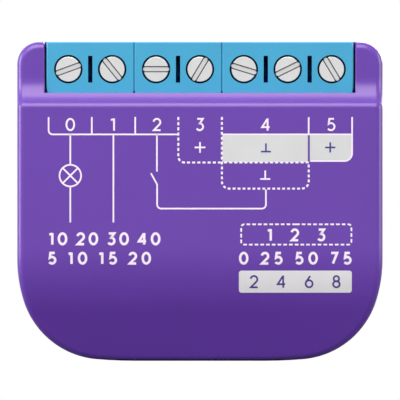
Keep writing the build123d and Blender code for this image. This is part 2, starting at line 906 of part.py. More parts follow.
with BuildPart() as transformer_bobbin:
    for side in (-1, 1):
        end = transformer_z + side * (window_length / 2 - bobbin_fit)
        with BuildSketch(Plane.XY.offset(end)):
            with Locations((transformer_x, above(transformer_rise))):
                Rectangle(bobbin_width, 2 * transformer_rise)
        extrude(amount=-side * bobbin_flange)
    with BuildSketch(Plane.XY.offset(transformer_z)):
        with Locations((transformer_x, above(transformer_rise))):
            Rectangle(
                core_centre + 2 * (bobbin_fit + bobbin_wall),
                core_depth + 2 * (bobbin_fit + bobbin_wall),
            )
    extrude(amount=window_length / 2 - bobbin_fit, both=True)
    with BuildSketch(Plane.XY.offset(transformer_z)):
        with Locations((transformer_x, above(transformer_rise))):
            Rectangle(core_centre + 2 * bobbin_fit, core_depth + 2 * bobbin_fit)
    extrude(amount=window_length, both=True, mode=Mode.SUBTRACT)
save(transformer_bobbin, "transformer_bobbin")

with BuildPart() as transformer_winding:
    with BuildSketch(Plane.XY.offset(transformer_z)):
        with Locations((transformer_x, above(transformer_rise))):
            RectangleRounded(
                bobbin_width - winding_step,
                2 * transformer_rise - winding_step,
                winding_step,
            )
            Rectangle(
                core_centre + 2 * (bobbin_fit + bobbin_wall),
                core_depth + 2 * (bobbin_fit + bobbin_wall),
                mode=Mode.SUBTRACT,
            )
    extrude(amount=window_length / 2 - bobbin_fit - bobbin_flange, both=True)
save(transformer_winding, "transformer_winding")

with BuildPart() as transformer_pins:
    with BuildSketch(at(board_back_y + pin_out)):
        for x, z, pin_x, pin_z in foot_pins:
            with Locations((x, z)):
                Rectangle(pin_x, pin_z)
    extrude(amount=board_back_y + pin_out - board_front_y)
save(transformer_pins, "transformer_pins")


# Lower row
def capacitor(z):
    """A bulk capacitor that lies along X: can with a rolled groove, bung and bent leads."""
    axis_y = above(capacitor_lift + capacitor_d / 2)
    r = capacitor_d / 2
    with BuildPart() as can:
        with BuildSketch(Plane.XY.offset(z)):
            with BuildLine():
                groove_x = capacitor_left + 2 * bung_length
                Polyline(
                    (capacitor_left + bung_length / 2, axis_y),
                    (capacitor_left + bung_length / 2, axis_y - r + capacitor_groove),
                    (capacitor_left + bung_length, axis_y - r),
                    (groove_x, axis_y - r),
                    (groove_x + capacitor_groove, axis_y - r + capacitor_groove),
                    (groove_x + 2 * capacitor_groove, axis_y - r),
                    (capacitor_right, axis_y - r),
                    (capacitor_right, axis_y),
                    close=True,
                )
            make_face()
        revolve(axis=Axis((0, axis_y, z), (1, 0, 0)))
        fillet(can.edges().sort_by(Axis.X)[-1], capacitor_round)
        for side in (-1, 1):
            lead_z = z + side * capacitor_lead_spacing / 2
            with BuildLine():
                FilletPolyline(
                    (capacitor_left + bung_length / 2, axis_y, lead_z),
                    (capacitor_left - bung_length / 2, axis_y, lead_z),
                    (capacitor_left - bung_length / 2, board_back_y + pin_out, lead_z),
                    radius=lead_d,
                )
            with BuildSketch(Plane.YZ.offset(capacitor_left + bung_length / 2)):
                with Locations((axis_y, lead_z)):
                    Circle(lead_d / 2)
            sweep()
    return can


for number, z in enumerate(capacitor_z, start=1):
    save(capacitor(z), f"bulk_capacitor_{number}")

with BuildPart() as varistor:
    with BuildSketch(Plane.YZ.offset(varistor_x)):
        with Locations((above(varistor_lift + varistor_d / 2), varistor_z)):
            Circle(varistor_d / 2)
    extrude(amount=varistor_thickness / 2, both=True)
    fillet(varistor.edges().filter_by(GeomType.CIRCLE), varistor_round)
    with BuildSketch(at(board_back_y + pin_out)):
        for lead in varistor_leads:
            with Locations(lead):
                Circle(lead_d / 2)
    extrude(amount=board_back_y + pin_out - above(varistor_lift + varistor_d / 2))
save(varistor, "varistor")

with BuildPart() as inductor_core:
    with BuildSketch(at(board_front_y)):
        with Locations((inductor_x, inductor_z)):
            Circle(inductor_d / 2)
    extrude(amount=inductor_height)
    with BuildSketch(at(above(inductor_flange))):
        with Locations((inductor_x, inductor_z)):
            Circle(inductor_d / 2)
            Circle(inductor_d / 2 - inductor_waist, mode=Mode.SUBTRACT)
    extrude(amount=inductor_height - 2 * inductor_flange, mode=Mode.SUBTRACT)
save(inductor_core, "inductor_core")

with BuildPart() as inductor_winding:
    with BuildSketch(at(above(inductor_flange))):
        with Locations((inductor_x, inductor_z)):
            Circle(inductor_d / 2 - winding_below)
            Circle(inductor_d / 2 - inductor_waist, mode=Mode.SUBTRACT)
    extrude(amount=inductor_height - 2 * inductor_flange)
save(inductor_winding, "inductor_winding")

with BuildPart() as fuse:
    axis_y = above(fuse_lift + fuse_d / 2)
    with BuildSketch(Plane.XY.offset(row_top)):
        with Locations((fuse_x, axis_y)):
            Circle(fuse_d / 2)
    extrude(amount=-fuse_length)
    with BuildSketch(Plane.XY.offset(row_top - fuse_cap)):
        with Locations((fuse_x, axis_y)):
            Circle(fuse_d)
            Circle(fuse_d / 2 - fuse_step, mode=Mode.SUBTRACT)
    extrude(amount=-(fuse_length - 2 * fuse_cap), mode=Mode.SUBTRACT)
save(fuse, "fuse")


def chip(x, z, foot_y, side, width, length, body_height, leads):
    """A moulded chip with flat leads; side is 1 on the board's front and -1 on its rear."""
    with BuildPart() as body:
        with BuildSketch(at(foot_y)):
            for n in range(leads):
                step = (n - (leads - 1) / 2) * length / leads
                with Locations((x, z + step)):
                    Rectangle(width + 2 * chip_lead_reach, chip_lead_width)
        extrude(amount=side * chip_lead)
        with BuildSketch(at(foot_y - side * chip_lead)):
            with Locations((x, z)):
                Rectangle(width, length)
        extrude(amount=side * (body_height - chip_lead))
        top = body.faces().filter_by(Axis.Y).sort_by(Axis.Y)[0 if side > 0 else -1]
        chamfer(top.edges(), chip_bevel)
    return body


save(
    chip(
        inductor_x, rectifier_z, board_front_y, 1,
        rectifier_width - 2 * chip_lead_reach, rectifier_length, rectifier_height,
        rectifier_lead_count,
    ),
    "rectifier",
)
save(
    chip(
        controller_x, controller_z, board_back_y, -1,
        controller_width, controller_length, controller_height, controller_lead_count,
    ),
    "power_controller",
)

# Radio: a small board with half holes along both sides, its chip and its shield can
radio_x = radio_left + radio_width / 2
shield_z = row_top - radio_margin - shield_length / 2

with BuildPart() as radio_board:
    with BuildSketch(at(board_front_y)):
        with Locations((radio_x, radio_bottom)):
            Rectangle(radio_width, radio_length, align=(Align.CENTER, Align.MIN))
        for n in range(castellation_count):
            for side in (-1, 1):
                with Locations(
                    (
                        radio_x + side * radio_width / 2,
                        row_top - castellation_start - n * castellation_pitch,
                    )
                ):
                    Circle(castellation_d / 2, mode=Mode.SUBTRACT)
    extrude(amount=radio_board_thickness)
save(radio_board, "radio_board")

with BuildPart() as radio_chip:
    with BuildSketch(at(above(radio_board_thickness))):
        with Locations((radio_x, shield_z)):
            Rectangle(radio_chip_width, radio_chip_width)
    extrude(amount=radio_chip_height)
    chamfer(radio_chip.faces().sort_by(Axis.Y)[0].edges(), radio_chip_bevel)
save(radio_chip, "radio_chip")

with BuildPart() as radio_shield:
    with BuildSketch(at(above(radio_board_thickness))):
        with Locations((radio_x, shield_z)):
            RectangleRounded(shield_width, shield_length, shield_round)
    extrude(amount=shield_height)
    with BuildSketch(at(above(radio_board_thickness))):
        with Locations((radio_x, shield_z)):
            Rectangle(shield_width - 2 * shield_sheet, shield_length - 2 * shield_sheet)
    extrude(amount=shield_height - shield_sheet, mode=Mode.SUBTRACT)
save(radio_shield, "radio_shield")


# Rear side: the button presses the switch on the board, the light pipe stands over the LED
button = (button_x, button_z)
flange_back_y = cover_front_y - touch_gap
flange_front_y = flange_back_y - button_flange
plunger_back_y = flange_front_y - touch_gap
switch_back_y = plunger_back_y - button_travel - button_gap
sheet_front_y = switch_back_y - switch_sheet
foot_back_y = sheet_front_y - touch_gap
foot_front_y = foot_back_y - plunger_foot

with BuildPart() as service_button:
    with BuildSketch(at(back_y - button_recess)):
        with Locations(button):
            Circle(button_d / 2)
    extrude(amount=back_y - button_recess - flange_back_y)
    fillet(service_button.edges().sort_by(Axis.Y)[-1], button_round)
    with BuildSketch(at(flange_back_y)):
        with Locations(button):
            Circle(button_flange_d / 2)
    extrude(amount=button_flange)
save(service_button, "service_button")

with BuildPart() as switch_plunger:
    with BuildSketch(at(plunger_back_y)):
        with Locations(button):
            Circle(plunger_d / 2)
    extrude(amount=plunger_back_y - foot_front_y)
    with BuildSketch(at(foot_back_y)):
        with Locations(button):
            Circle(plunger_foot_d / 2)
    extrude(amount=plunger_foot)
save(switch_plunger, "switch_plunger")

with BuildPart() as switch_body:
    with BuildSketch(at(sheet_front_y)):
        with Locations(button):
            RectangleRounded(switch_width, switch_width, switch_round)
    extrude(amount=sheet_front_y - board_back_y)
    with BuildSketch(at(sheet_front_y)):
        with Locations(button):
            Circle(plunger_foot_d / 2 + pocket_gap)
    extrude(amount=sheet_front_y - board_back_y - switch_floor, mode=Mode.SUBTRACT)
save(switch_body, "switch_body")

with BuildPart() as switch_frame:
    with BuildSketch(at(switch_back_y)):
        with Locations(button):
            RectangleRounded(switch_width, switch_width, switch_round)
            Circle(plunger_d / 2 + pocket_gap, mode=Mode.SUBTRACT)
    extrude(amount=switch_sheet)
save(switch_frame, "switch_frame")

with BuildPart() as switch_disc:
    with BuildSketch(at(board_back_y + switch_floor + disc_thickness)):
        with Locations(button):
            Circle(plunger_foot_d / 2)
    extrude(amount=disc_thickness)
save(switch_disc, "switch_disc")

with BuildPart() as status_led:
    with BuildSketch(at(board_back_y)):
        with Locations((light_x, button_z)):
            Rectangle(led_depth, led_width)
    extrude(amount=-led_height)
save(status_led, "status_led")

with BuildPart() as light_pipe:
    with BuildSketch(at(back_y - light_recess)):
        with Locations((light_x, button_z)):
            Circle(light_d / 2)
    extrude(amount=back_y - light_recess - board_back_y - led_height - led_gap)
    with BuildSketch(at(flange_back_y)):
        with Locations((light_x, button_z)):
            Circle(light_flange_d / 2)
    extrude(amount=light_flange)
save(light_pipe, "light_pipe")
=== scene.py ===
"""Looks of the smart relay module: materials, pad printing, light and camera."""

import math

import bpy
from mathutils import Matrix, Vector


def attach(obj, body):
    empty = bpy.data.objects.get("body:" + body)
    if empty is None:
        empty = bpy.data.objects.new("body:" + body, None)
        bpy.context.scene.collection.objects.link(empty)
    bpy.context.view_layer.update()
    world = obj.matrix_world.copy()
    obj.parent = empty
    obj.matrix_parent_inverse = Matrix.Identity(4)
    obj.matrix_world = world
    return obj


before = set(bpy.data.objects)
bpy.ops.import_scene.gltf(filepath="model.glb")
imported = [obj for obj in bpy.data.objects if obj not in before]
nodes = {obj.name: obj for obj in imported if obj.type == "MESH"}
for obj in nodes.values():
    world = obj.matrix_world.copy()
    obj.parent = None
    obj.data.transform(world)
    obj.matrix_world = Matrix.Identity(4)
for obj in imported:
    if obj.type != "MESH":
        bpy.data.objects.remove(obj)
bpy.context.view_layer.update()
MM = 0.001

# Where the photograph's pixels lie on the printed front: its side and its scale, then the
# column of the middle and the row of the foot
PHOTO_PX, PX_PER_MM = 400, 8.638
PX_CENTRE, PX_FOOT = 199.95, 360.8

# The front that carries the print, as in the part's source
FRONT_Y, BEND_Z, BEND_R, BEND_ANGLE = -8.0, 12.8, 22.0, math.radians(18)


def front_depth(z):
    """Depth of the printed front at a height, both in millimetres."""
    drop = BEND_Z - z
    if drop <= 0:
        return FRONT_Y
    bend_drop = BEND_R * math.sin(BEND_ANGLE)
    y = FRONT_Y + BEND_R - math.sqrt(BEND_R**2 - min(drop, bend_drop) ** 2)
    return y + max(0, drop - bend_drop) * math.tan(BEND_ANGLE)


def spot(x, y):
    """A pixel of the photograph as millimetres on the front."""
    return ((x - PX_CENTRE) / PX_PER_MM, (PX_FOOT - y) / PX_PER_MM)


# Materials. The occlusion that finds the crevices for the painted shade takes this many
# rays.
AO_SAMPLES = 16


def new_material(name):
    material = bpy.data.materials.new(name)
    material.use_nodes = True
    tree = material.node_tree
    return material, tree, tree.nodes["Principled BSDF"]


def add(tree, kind, **values):
    """A new node, its values set on the sockets or the settings of those names."""
    node = tree.nodes.new(kind)
    for key, value in values.items():
        if key in node.inputs:
            node.inputs[key].default_value = value
        else:
            setattr(node, key, value)
    return node


def noise(tree, scale_mm, detail=2.0, stretch=(1, 1, 1)):
    """A noise whose blotches measure about scale_mm."""
    place = add(tree, "ShaderNodeTexCoord")
    mapping = add(tree, "ShaderNodeMapping")
    mapping.inputs["Scale"].default_value = stretch
    tree.links.new(place.outputs["Object"], mapping.inputs["Vector"])
    texture = add(tree, "ShaderNodeTexNoise", Scale=1 / (scale_mm * MM), Detail=detail)
    tree.links.new(mapping.outputs[0], texture.inputs["Vector"])
    return texture


def remap(tree, source, low, high, span=(0.3, 0.7)):
    """The span of a socket's values, spread from low to high."""
    node = add(tree, "ShaderNodeMapRange")
    node.inputs["From Min"].default_value = span[0]
    node.inputs["From Max"].default_value = span[1]
    node.inputs["To Min"].default_value = low
    node.inputs["To Max"].default_value = high
    tree.links.new(source, node.inputs["Value"])
    return node.outputs[0]


def times(tree, socket, factor):
    """A socket times a number or another socket."""
    node = add(tree, "ShaderNodeMath", operation="MULTIPLY")
    tree.links.new(socket, node.inputs[0])
    if isinstance(factor, float):
        node.inputs[1].default_value = factor
    else:
        tree.links.new(factor, node.inputs[1])
    return node.outputs[0]


def colour_sockets(sockets):
    """The colour sockets of a mix node, which has others of the same names."""
    return [socket for socket in sockets if socket.type == "RGBA"]


def blend_colours(tree, factor, *colours):
    """A blend between two colours, each a tuple or a socket."""
    node = add(tree, "ShaderNodeMix", data_type="RGBA")
    for socket, colour in zip(colour_sockets(node.inputs), colours):
        if isinstance(colour, tuple):
            socket.default_value = (*colour, 1)
        else:
            tree.links.new(colour, socket)
    tree.links.new(factor, node.inputs["Factor"])
    return colour_sockets(node.outputs)[0]


def finish_material(
    name,
    colour,
    vary=0.06,
    vary_mm=4.0,
    rough=(0.35, 0.42),
    bump_mm=None,
    bump=0.15,
    depth_mm=0.01,
    stretch=(1, 1, 1),
    metallic=0.0,
    coat=0.0,
    specular=0.5,
    specular_tint=(1, 1, 1),
    transmission=0.0,
    painted_crevice_shade=None,
    painted_foot_gloss_shade=None,
):
    """A procedural finish: a colour that varies, uneven roughness and fine relief.

    The argument for crevices paints shade into slots and deep corners: it darkens the
    colour there and dims the gloss. It holds how far a wall still counts, in millimetres,
    how open a spot is where the painted shade is full and where there is none, and the
    colour of the painted shade. The argument for the foot, which needs the one for
    crevices, paints the gloss dimmer towards the foot, a painted shade of the reflection.
    It holds the two heights between which it fades, in millimetres, and the share of it
    that is left.
    """
    material, tree, shader = new_material(name)
    darker = tuple(c * (1 - vary) for c in colour)
    lighter = tuple(min(1, c * (1 + vary)) for c in colour)
    blotches = remap(tree, noise(tree, vary_mm).outputs["Fac"], 0, 1)
    tint = blend_colours(tree, blotches, darker, lighter)
    # Painted shade: in crevices the colour is darkened towards a dark colour and the gloss
    # is dimmed
    if painted_crevice_shade:
        reach_mm, dark, light, painted_shade_colour = painted_crevice_shade
        occlusion = add(tree, "ShaderNodeAmbientOcclusion", Distance=reach_mm * MM)
        occlusion.samples = AO_SAMPLES
        openness = remap(tree, occlusion.outputs["AO"], 0, 1, (dark, light))
        tint = blend_colours(tree, openness, painted_shade_colour, tint)
        gloss = openness
        # Painted shade of the reflection: the gloss is dimmed towards the foot
        if painted_foot_gloss_shade:
            low_mm, high_mm, share = painted_foot_gloss_shade
            place = add(tree, "ShaderNodeTexCoord")
            height = add(tree, "ShaderNodeSeparateXYZ")
            tree.links.new(place.outputs["Object"], height.inputs[0])
            fade = remap(tree, height.outputs["Z"], share, 1, (low_mm * MM, high_mm * MM))
            gloss = times(tree, gloss, fade)
        gloss = times(tree, gloss, specular)
        tree.links.new(gloss, shader.inputs["Specular IOR Level"])
    else:
        shader.inputs["Specular IOR Level"].default_value = specular
    tree.links.new(tint, shader.inputs["Base Color"])
    fine = noise(tree, bump_mm or 0.3, detail=3, stretch=stretch)
    tree.links.new(remap(tree, fine.outputs["Fac"], *rough), shader.inputs["Roughness"])
    if bump_mm:
        relief = add(tree, "ShaderNodeBump", Strength=bump, Distance=depth_mm * MM)
        tree.links.new(fine.outputs["Fac"], relief.inputs["Height"])
        tree.links.new(relief.outputs[0], shader.inputs["Normal"])
    shader.inputs["Metallic"].default_value = metallic
    shader.inputs["Coat Weight"].default_value = coat
    shader.inputs["Specular Tint"].default_value = (*specular_tint, 1)
    shader.inputs["Transmission Weight"].default_value = transmission
    return material


def dress(names, material):
    for name in names:
        mesh = nodes[name].data
        mesh.materials.clear()
        mesh.materials.append(material)


def named(prefix):
    return [n for n in nodes if n.startswith(prefix)]


# Painted shade in the housing's crevices, and its gloss painted dimmer towards the foot
purple = finish_material(
    "purple_housing", (0.12, 0.038, 0.375), vary=0.03, vary_mm=9,
    rough=(0.28, 0.34), bump_mm=0.16, bump=0.08, depth_mm=0.008,
    specular=0.68, specular_tint=(1.0, 0.84, 0.86),
    painted_crevice_shade=(0.5, 0.1, 0.35, (0.012, 0.008, 0.16)), painted_foot_gloss_shade=(5.5, 13.5, 0.38),
)
# Painted shade in the terminals' slots, seams and the rings round the screw heads
blue = finish_material(
    "blue_terminal", (0.054, 0.375, 0.61), vary=0.03, vary_mm=6,
    rough=(0.3, 0.38), bump_mm=0.2, bump=0.08, depth_mm=0.006,
    painted_crevice_shade=(0.9, 0.44, 0.5, (0.001, 0.022, 0.14)),
)
# Painted shade in the screws' slots
zinc = finish_material(
    "zinc_screw", (0.68, 0.675, 0.68), vary=0.02, vary_mm=0.8,
    rough=(0.28, 0.36), bump_mm=0.12, bump=0.06, depth_mm=0.004, metallic=1.0,
    painted_crevice_shade=(0.36, 0.66, 0.76, (0.008, 0.008, 0.01)),
)
stamped = finish_material(
    "stamped_steel", (0.62, 0.62, 0.6), vary=0.08, vary_mm=1.2,
    rough=(0.3, 0.45), bump_mm=0.1, bump=0.15, depth_mm=0.004,
    stretch=(1, 1, 6), metallic=1.0,
)
copper = finish_material(
    "contact_copper", (0.78, 0.5, 0.3), vary=0.08, vary_mm=1,
    rough=(0.25, 0.4), bump_mm=0.15, bump=0.1, depth_mm=0.004, metallic=1.0,
)
solder_mask = finish_material(
    "solder_mask", (0.012, 0.11, 0.05), vary=0.12, vary_mm=2,
    rough=(0.25, 0.35), bump_mm=0.3, bump=0.15, depth_mm=0.01,
)
black_case = finish_material(
    "black_case", (0.018, 0.018, 0.021), vary=0.15, vary_mm=3,
    rough=(0.4, 0.5), bump_mm=0.12, bump=0.2, depth_mm=0.008,
)
nylon = finish_material(
    "natural_nylon", (0.72, 0.69, 0.6), vary=0.05, vary_mm=2,
    rough=(0.4, 0.5), bump_mm=0.2, bump=0.1, depth_mm=0.006,
)
iron = finish_material(
    "plated_iron", (0.55, 0.55, 0.56), vary=0.08, vary_mm=1.5,
    rough=(0.25, 0.4), bump_mm=0.15, bump=0.12, depth_mm=0.005, metallic=1.0,
)
ferrite = finish_material(
    "ferrite", (0.035, 0.034, 0.036), vary=0.25, vary_mm=0.6,
    rough=(0.5, 0.65), bump_mm=0.15, bump=0.35, depth_mm=0.015,
)
sleeve = finish_material(
    "capacitor_sleeve", (0.012, 0.012, 0.018), vary=0.15, vary_mm=3,
    rough=(0.18, 0.28), bump_mm=0.5, bump=0.08, depth_mm=0.01, coat=0.3,
)
epoxy = finish_material(
    "dipped_epoxy", (0.03, 0.11, 0.36), vary=0.1, vary_mm=2,
    rough=(0.25, 0.4), bump_mm=0.6, bump=0.3, depth_mm=0.03,
)
ceramic = finish_material(
    "ceramic", (0.76, 0.73, 0.66), vary=0.05, vary_mm=1.5,
    rough=(0.35, 0.5), bump_mm=0.15, bump=0.15, depth_mm=0.006,
)
chip_epoxy = finish_material(
    "chip_epoxy", (0.022, 0.022, 0.022), vary=0.2, vary_mm=1,
    rough=(0.5, 0.6), bump_mm=0.08, bump=0.3, depth_mm=0.006,
)
tin = finish_material(
    "tinned_sheet", (0.7, 0.7, 0.68), vary=0.06, vary_mm=1.5,
    rough=(0.2, 0.34), bump_mm=0.4, bump=0.1, depth_mm=0.006, metallic=1.0,
)
clear = finish_material(
    "clear_pipe", (0.92, 0.95, 0.96), vary=0.02, vary_mm=1,
    rough=(0.08, 0.14), bump_mm=0.4, bump=0.04, depth_mm=0.004, transmission=0.85,
)
lens = finish_material(
    "led_lens", (0.82, 0.82, 0.68), vary=0.05, vary_mm=0.6,
    rough=(0.2, 0.3), bump_mm=0.3, bump=0.06, depth_mm=0.004,
)


# Enamelled wire: the pitch of its turns, how deep they look, the painted shade between them
# and the colour on them. The wave texture has 20 radians of a wave in one unit.
TURN_MM, TURN_DEPTH_MM = 0.098696044, 0.04
PAINTED_GROOVE_SHADE, WIRE_CREST = (0.2, 0.05, 0.02), (0.62, 0.2, 0.07)
WAVE_RADIANS = 20


def wound_wire(name, axis):
    """Enamelled turns: fine grooves across the winding's axis, with painted shade in them.
    """
    material, tree, shader = new_material(name)
    place = add(tree, "ShaderNodeTexCoord")
    wave = add(
        tree, "ShaderNodeTexWave", Scale=2 * math.pi / (WAVE_RADIANS * TURN_MM * MM),
        Distortion=0.6, Detail=1, bands_direction=axis, wave_profile="SIN",
    )
    tree.links.new(place.outputs["Object"], wave.inputs["Vector"])
    turns = wave.outputs["Fac"]
    # The darker colour in the grooves is painted shade
    tint = blend_colours(tree, turns, PAINTED_GROOVE_SHADE, WIRE_CREST)
    tree.links.new(tint, shader.inputs["Base Color"])
    relief = add(tree, "ShaderNodeBump", Strength=0.8, Distance=TURN_DEPTH_MM * MM)
    tree.links.new(turns, relief.inputs["Height"])
    tree.links.new(relief.outputs[0], shader.inputs["Normal"])
    tree.links.new(remap(tree, turns, 0.2, 0.4), shader.inputs["Roughness"])
    shader.inputs["Metallic"].default_value = 0.6
    shader.inputs["Coat Weight"].default_value = 0.5
    return material


dress(["front_housing", "rear_cover", "service_button"], purple)
dress(named("terminal_block"), blue)
dress(named("clamp_screw"), zinc)
dress(named("clamp_cage"), stamped)
dress(named("contact_bar"), copper)
dress(["main_board", "radio_board"], solder_mask)
dress(["relay_base", "relay_case", "switch_body", "switch_plunger"], black_case)
dress(["coil_bobbin", "transformer_bobbin"], nylon)
dress(["coil_winding"], wound_wire("coil_wire", "X"))
dress(["transformer_winding"], wound_wire("transformer_wire", "Z"))
dress(["inductor_winding"], wound_wire("inductor_wire", "Y"))
dress(["relay_core", "relay_yoke", "relay_armature"], iron)
dress(["moving_contact", "fixed_contact", "relay_coil_pins", "transformer_pins"], copper)
dress(["transformer_core", "inductor_core"], ferrite)
dress(["bulk_capacitor_1", "bulk_capacitor_2"], sleeve)
dress(["varistor"], epoxy)
dress(["fuse"], ceramic)
dress(["rectifier", "power_controller", "radio_chip"], chip_epoxy)
dress(["radio_shield", "switch_frame", "switch_disc"], tin)
dress(["light_pipe"], clear)
dress(["status_led"], lens)

white_ink = finish_material(
    "white_ink", (0.97, 0.84, 0.98), vary=0.02, vary_mm=1.5,
    rough=(0.42, 0.52), bump_mm=0.1, bump=0.1, depth_mm=0.003,
)
grey_ink = finish_material(
    "grey_ink", (0.685, 0.685, 0.685), vary=0.02, vary_mm=3,
    rough=(0.45, 0.55), bump_mm=0.12, bump=0.1, depth_mm=0.003,
)
pale_ink = finish_material(
    "pale_ink", (0.83, 0.81, 0.83), vary=0.02, vary_mm=3,
    rough=(0.45, 0.55), bump_mm=0.12, bump=0.1, depth_mm=0.003,
)
indigo_ink = finish_material(
    "indigo_ink", (0.045, 0.028, 0.22), vary=0.05, vary_mm=1.5,
    rough=(0.4, 0.5), bump_mm=0.1, bump=0.1, depth_mm=0.003,
)


# Pad printing: flat ink a hair proud of the moulding, in millimetres. The plates lie
# lowest, and strokes that cross lie one over the other by OVERLAY, in this many layers.
PLATE_PROUD, LINE_PROUD, NUMBER_PROUD = 0.012, 0.02, 0.022
DARK_PROUD, DOT_PROUD = 0.024, 0.026
OVERLAY, LAYERS = 0.001, 3

# A sharp corner's mitre stops where the stroke would be wider than its pen by this share
MITRE_SHARE = 0.4

# Heights and points closer than these, in millimetres, count as one
SAME_HEIGHT, SAME_POINT = 1e-6, 1e-4


class Ink:
    """One printed piece, made of ribbons and filled shapes on the front."""

    def __init__(self, name, material, slot, proud):
        self.name, self.material, self.slot, self.proud = name, material, slot, proud
        self.points, self.faces, self.strokes = [], [], 0

    def point(self, x, z):
        proud = self.proud + self.strokes % LAYERS * OVERLAY
        self.points.append((x * MM, (front_depth(z) - proud) * MM, z * MM))
        return len(self.points) - 1

    def ribbon(self, path, width, closed=False):
        """A line of even width along a path in millimetres, with mitred corners."""
        self.strokes += 1
        count = len(path)
        sides = []
        for i, (x, z) in enumerate(path):
            before = path[i - 1] if i or closed else None
            after = path[(i + 1) % count] if i + 1 < count or closed else None
            steps = []
            if before:
                steps.append(Vector((x - before[0], z - before[1])).normalized())
            if after:
                steps.append(Vector((after[0] - x, after[1] - z)).normalized())
            along = sum(steps, Vector((0, 0))).normalized()
            across = Vector((-along.y, along.x))
            reach = width / 2 / max(MITRE_SHARE, abs(along.dot(steps[0])))
            left = self.point(x + across.x * reach, z + across.y * reach)
            right = self.point(x - across.x * reach, z - across.y * reach)
            sides.append((left, right))
        pairs = list(zip(sides, sides[1:] + (sides[:1] if closed else [])))
        for (a, b), (c, d) in pairs[: count if closed else count - 1]:
            self.faces.append((a, b, d, c))

    def plate(self, outline, rows=10):
        """A filled convex outline in millimetres, cut into level strips so that it follows
        the bend."""
        low, high = min(z for _, z in outline), max(z for _, z in outline)
        heights = sorted({z for _, z in outline} | {
            low + (high - low) * n / rows for n in range(rows + 1)
        })
        edges = list(zip(outline, outline[1:] + outline[:1]))
        last = None
        for z in heights:
            level = min(max(z, low + SAME_HEIGHT), high - SAME_HEIGHT)
            cuts = [
                x1 + (x2 - x1) * (level - z1) / (z2 - z1)
                for (x1, z1), (x2, z2) in edges
                if min(z1, z2) <= level <= max(z1, z2) and z1 != z2
            ]
            row = (self.point(min(cuts), z), self.point(max(cuts), z))
            if last:
                self.faces.append((last[0], last[1], row[1], row[0]))
            last = row

    def make(self):
        """Puts the piece in the scene, every face turned to the front."""
        mesh = bpy.data.meshes.new(self.name)
        mesh.from_pydata(self.points, [], self.faces)
        mesh.update()
        piece = bpy.data.objects.new(self.name, mesh)
        bpy.context.scene.collection.objects.link(piece)
        for face in mesh.polygons:
            if face.normal.y > 0:
                face.flip()
        mesh.update()
        mesh.materials.append(self.material)
        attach(piece, "module")


CORNER_STEPS = 6


def rounded(corners, radii):
    """A path through corners in pixels, each inner corner rounded, as millimetres."""
    path = [spot(*corners[0])]
    for i in range(1, len(corners) - 1):
        here = Vector(corners[i])
        back = (Vector(corners[i - 1]) - here).normalized()
        on = (Vector(corners[i + 1]) - here).normalized()
        r = radii[i - 1]
        if r == 0:
            path.append(spot(*here))
            continue
        turn = math.pi - back.angle(on)
        reach = r * math.tan(turn / 2)
        middle = here + (back + on).normalized() * (r / math.cos(turn / 2))
        start, end = here + back * reach - middle, here + on * reach - middle
        for n in range(CORNER_STEPS + 1):
            way = start.normalized().slerp(end.normalized(), n / CORNER_STEPS)
            path.append(spot(*(middle + way * r)))
    path.append(spot(*corners[-1]))
    return path


def plate_outline(left, right, top, bottom, radii):
    """A rounded rectangle in pixels, as millimetres; radii from the top left, clockwise."""
    outline = []
    corners = ((left, top), (right, top), (right, bottom), (left, bottom))
    inwards = ((1, 1), (-1, 1), (-1, -1), (1, -1))
    for (x, y), (sx, sy), r, start in zip(corners, inwards, radii, (180, 270, 0, 90)):
        if r == 0:
            outline.append(spot(x, y))
            continue
        for n in range(CORNER_STEPS + 1):
            angle = math.radians(start + 90 * n / CORNER_STEPS)
            outline.append(
                spot(x + sx * r + r * math.cos(angle), y + sy * r + r * math.sin(angle))
            )
    return outline


def arc(cx, cz, r, start, end, steps=16, squeeze=1.0):
    """Points on an arc, angles in degrees, its width squeezed by a share."""
    return [
        (
            cx + r * squeeze * math.cos(math.radians(start + (end - start) * n / steps)),
            cz + r * math.sin(math.radians(start + (end - start) * n / steps)),
        )
        for n in range(steps + 1)
    ]


def walk(path, start, end):
    """The stretch of a path between two lengths along it."""
    found, gone = [], 0.0
    for (x1, z1), (x2, z2) in zip(path, path[1:]):
        step = math.dist((x1, z1), (x2, z2))
        if step == 0:
            continue
        for mark in (start, end):
            if gone <= mark <= gone + step:
                share = (mark - gone) / step
                found.append((mark, (x1 + (x2 - x1) * share, z1 + (z2 - z1) * share)))
        if start < gone + step < end:
            found.append((gone + step, (x2, z2)))
        gone += step
    found.sort(key=lambda item: item[0])
    kept = []
    for _, point in found:
        if not kept or math.dist(kept[-1], point) > SAME_POINT:
            kept.append(point)
    return kept


def length_of(path):
    return sum(math.dist(a, b) for a, b in zip(path, path[1:]))


def dotted(ink, path, width, dash, gap):
    """A dashed line whose dashes fill the path evenly."""
    total = length_of(path)
    count = max(1, round((total + gap) / (dash + gap)))
    pitch = (total + gap) / count
    for n in range(count):
        piece = walk(path, n * pitch, n * pitch + pitch - gap)
        if len(piece) > 1:
            ink.ribbon(piece, width)


